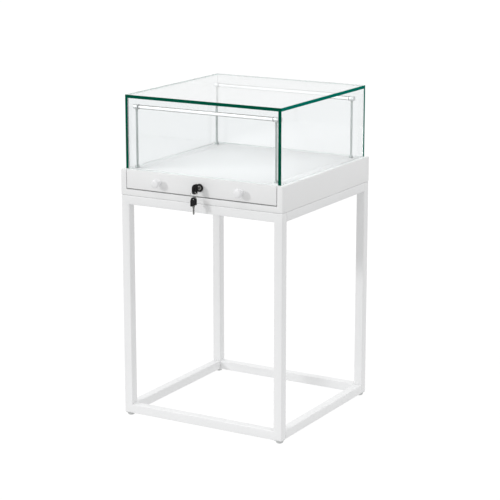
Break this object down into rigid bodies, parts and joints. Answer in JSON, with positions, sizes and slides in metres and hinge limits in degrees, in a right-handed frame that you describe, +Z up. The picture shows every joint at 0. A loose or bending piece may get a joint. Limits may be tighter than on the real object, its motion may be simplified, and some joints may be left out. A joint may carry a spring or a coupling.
{
  "type": "display case",
  "caption": "Glass table showcase: square-tube stand, low white box with a lockable pull-out display deck, and a glass hood lit by two light bars.",
  "frame": {"origin": "on the floor, under the middle of the overall box", "axes": "+Z up; the front with the deck, knobs and lock faces -Y; +X to the right seen from the front"},
  "size_m": [0.5, 0.546, 0.902],
  "materials": {
    "powder_coat": "satin white powder coat",
    "white_board": "satin white laminate on board",
    "raw_batten": "planed softwood",
    "zinc_steel": "zinc-plated steel",
    "nickel": "nickel plated",
    "white_plastic": "white lacquered",
    "grey_plastic": "moulded plastic",
    "black_plastic": "moulded plastic",
    "clear_glass": "clear float glass, polished edges",
    "satin_silver": "satin anodised",
    "opal_tube": "opal diffuser"
  },
  "bodies": {
    "showcase": {"leg_front_left": "powder_coat", "leg_front_right": "powder_coat", "leg_rear_left": "powder_coat", "leg_rear_right": "powder_coat", "top_rail_front": "powder_coat", "top_rail_rear": "powder_coat", "top_rail_left": "powder_coat", "top_rail_right": "powder_coat", "bottom_rail_front": "powder_coat", "bottom_rail_rear": "powder_coat", "bottom_rail_left": "powder_coat", "bottom_rail_right": "powder_coat", "glide_front_left": "grey_plastic", "glide_front_right": "grey_plastic", "glide_rear_left": "grey_plastic", "glide_rear_right": "grey_plastic", "box_side_left": "white_board", "box_side_right": "white_board", "box_rear_panel": "white_board", "box_front_rail": "white_board", "box_bottom_panel": "white_board", "ledge_left": "white_board", "ledge_right": "white_board", "slide_outer_left": "zinc_steel", "slide_outer_right": "zinc_steel", "glass_front": "clear_glass", "glass_rear": "clear_glass", "glass_left": "clear_glass", "glass_right": "clear_glass", "glass_top": "clear_glass", "light_tube_front": "opal_tube", "light_tube_rear": "opal_tube", "light_cap_front_left": "satin_silver", "light_cap_front_right": "satin_silver", "light_cap_rear_left": "satin_silver", "light_cap_rear_right": "satin_silver", "light_post_front_left": "satin_silver", "light_post_front_right": "satin_silver", "light_post_rear_left": "satin_silver", "light_post_rear_right": "satin_silver", "dc_inlet": "black_plastic"},
    "slide_middle_left": {"slide_middle_left": "zinc_steel"},
    "slide_middle_right": {"slide_middle_right": "zinc_steel"},
    "deck": {"drawer_front": "white_board", "deck_board": "white_board", "deck_bearer_left": "raw_batten", "deck_bearer_right": "raw_batten", "slide_inner_left": "zinc_steel", "slide_inner_right": "zinc_steel", "knob_left": "white_plastic", "knob_right": "white_plastic", "lock_barrel": "nickel", "lock_nut": "nickel"},
    "lock": {"lock_plug": "nickel", "lock_cam": "zinc_steel"},
    "key": {"key_bow": "black_plastic", "key_blade": "nickel"},
    "ring": {"key_ring": "nickel"},
    "spare_key": {"spare_key_bow": "black_plastic", "spare_key_blade": "nickel"}
  },
  "joints": [
    {"name": "deck_slide", "type": "slide", "parent": "showcase", "child": "deck", "axis": [0, -1, 0], "range_m": [0, 0.43]},
    {"name": "slide_middle_left", "type": "slide", "parent": "showcase", "child": "slide_middle_left", "axis": [0, -1, 0], "range_m": [0, 0.215]},
    {"name": "slide_middle_right", "type": "slide", "parent": "showcase", "child": "slide_middle_right", "axis": [0, -1, 0], "range_m": [0, 0.215]},
    {"name": "lock_turn", "type": "hinge", "parent": "deck", "child": "lock", "pos_m": [0, -0.2325, 0.6728], "axis": [0, -1, 0], "range_deg": [0, 90]},
    {"name": "key_pull", "type": "slide", "parent": "lock", "child": "key", "axis": [0, -1, 0], "range_m": [0, 0.03]},
    {"name": "ring_swing", "type": "hinge", "parent": "key", "child": "ring", "pos_m": [0, -0.25975, 0.668], "axis": [1, 0, 0], "range_deg": [-60, 10]},
    {"name": "spare_key_swing", "type": "hinge", "parent": "ring", "child": "spare_key", "pos_m": [0, -0.25975, 0.648], "axis": [1, 0, 0], "range_deg": [-60, 25]}
  ],
  "couplings": [
    {"joint": "slide_middle_left", "follows": "deck_slide", "ratio": 0.5},
    {"joint": "slide_middle_right", "follows": "deck_slide", "ratio": 0.5}
  ]
}
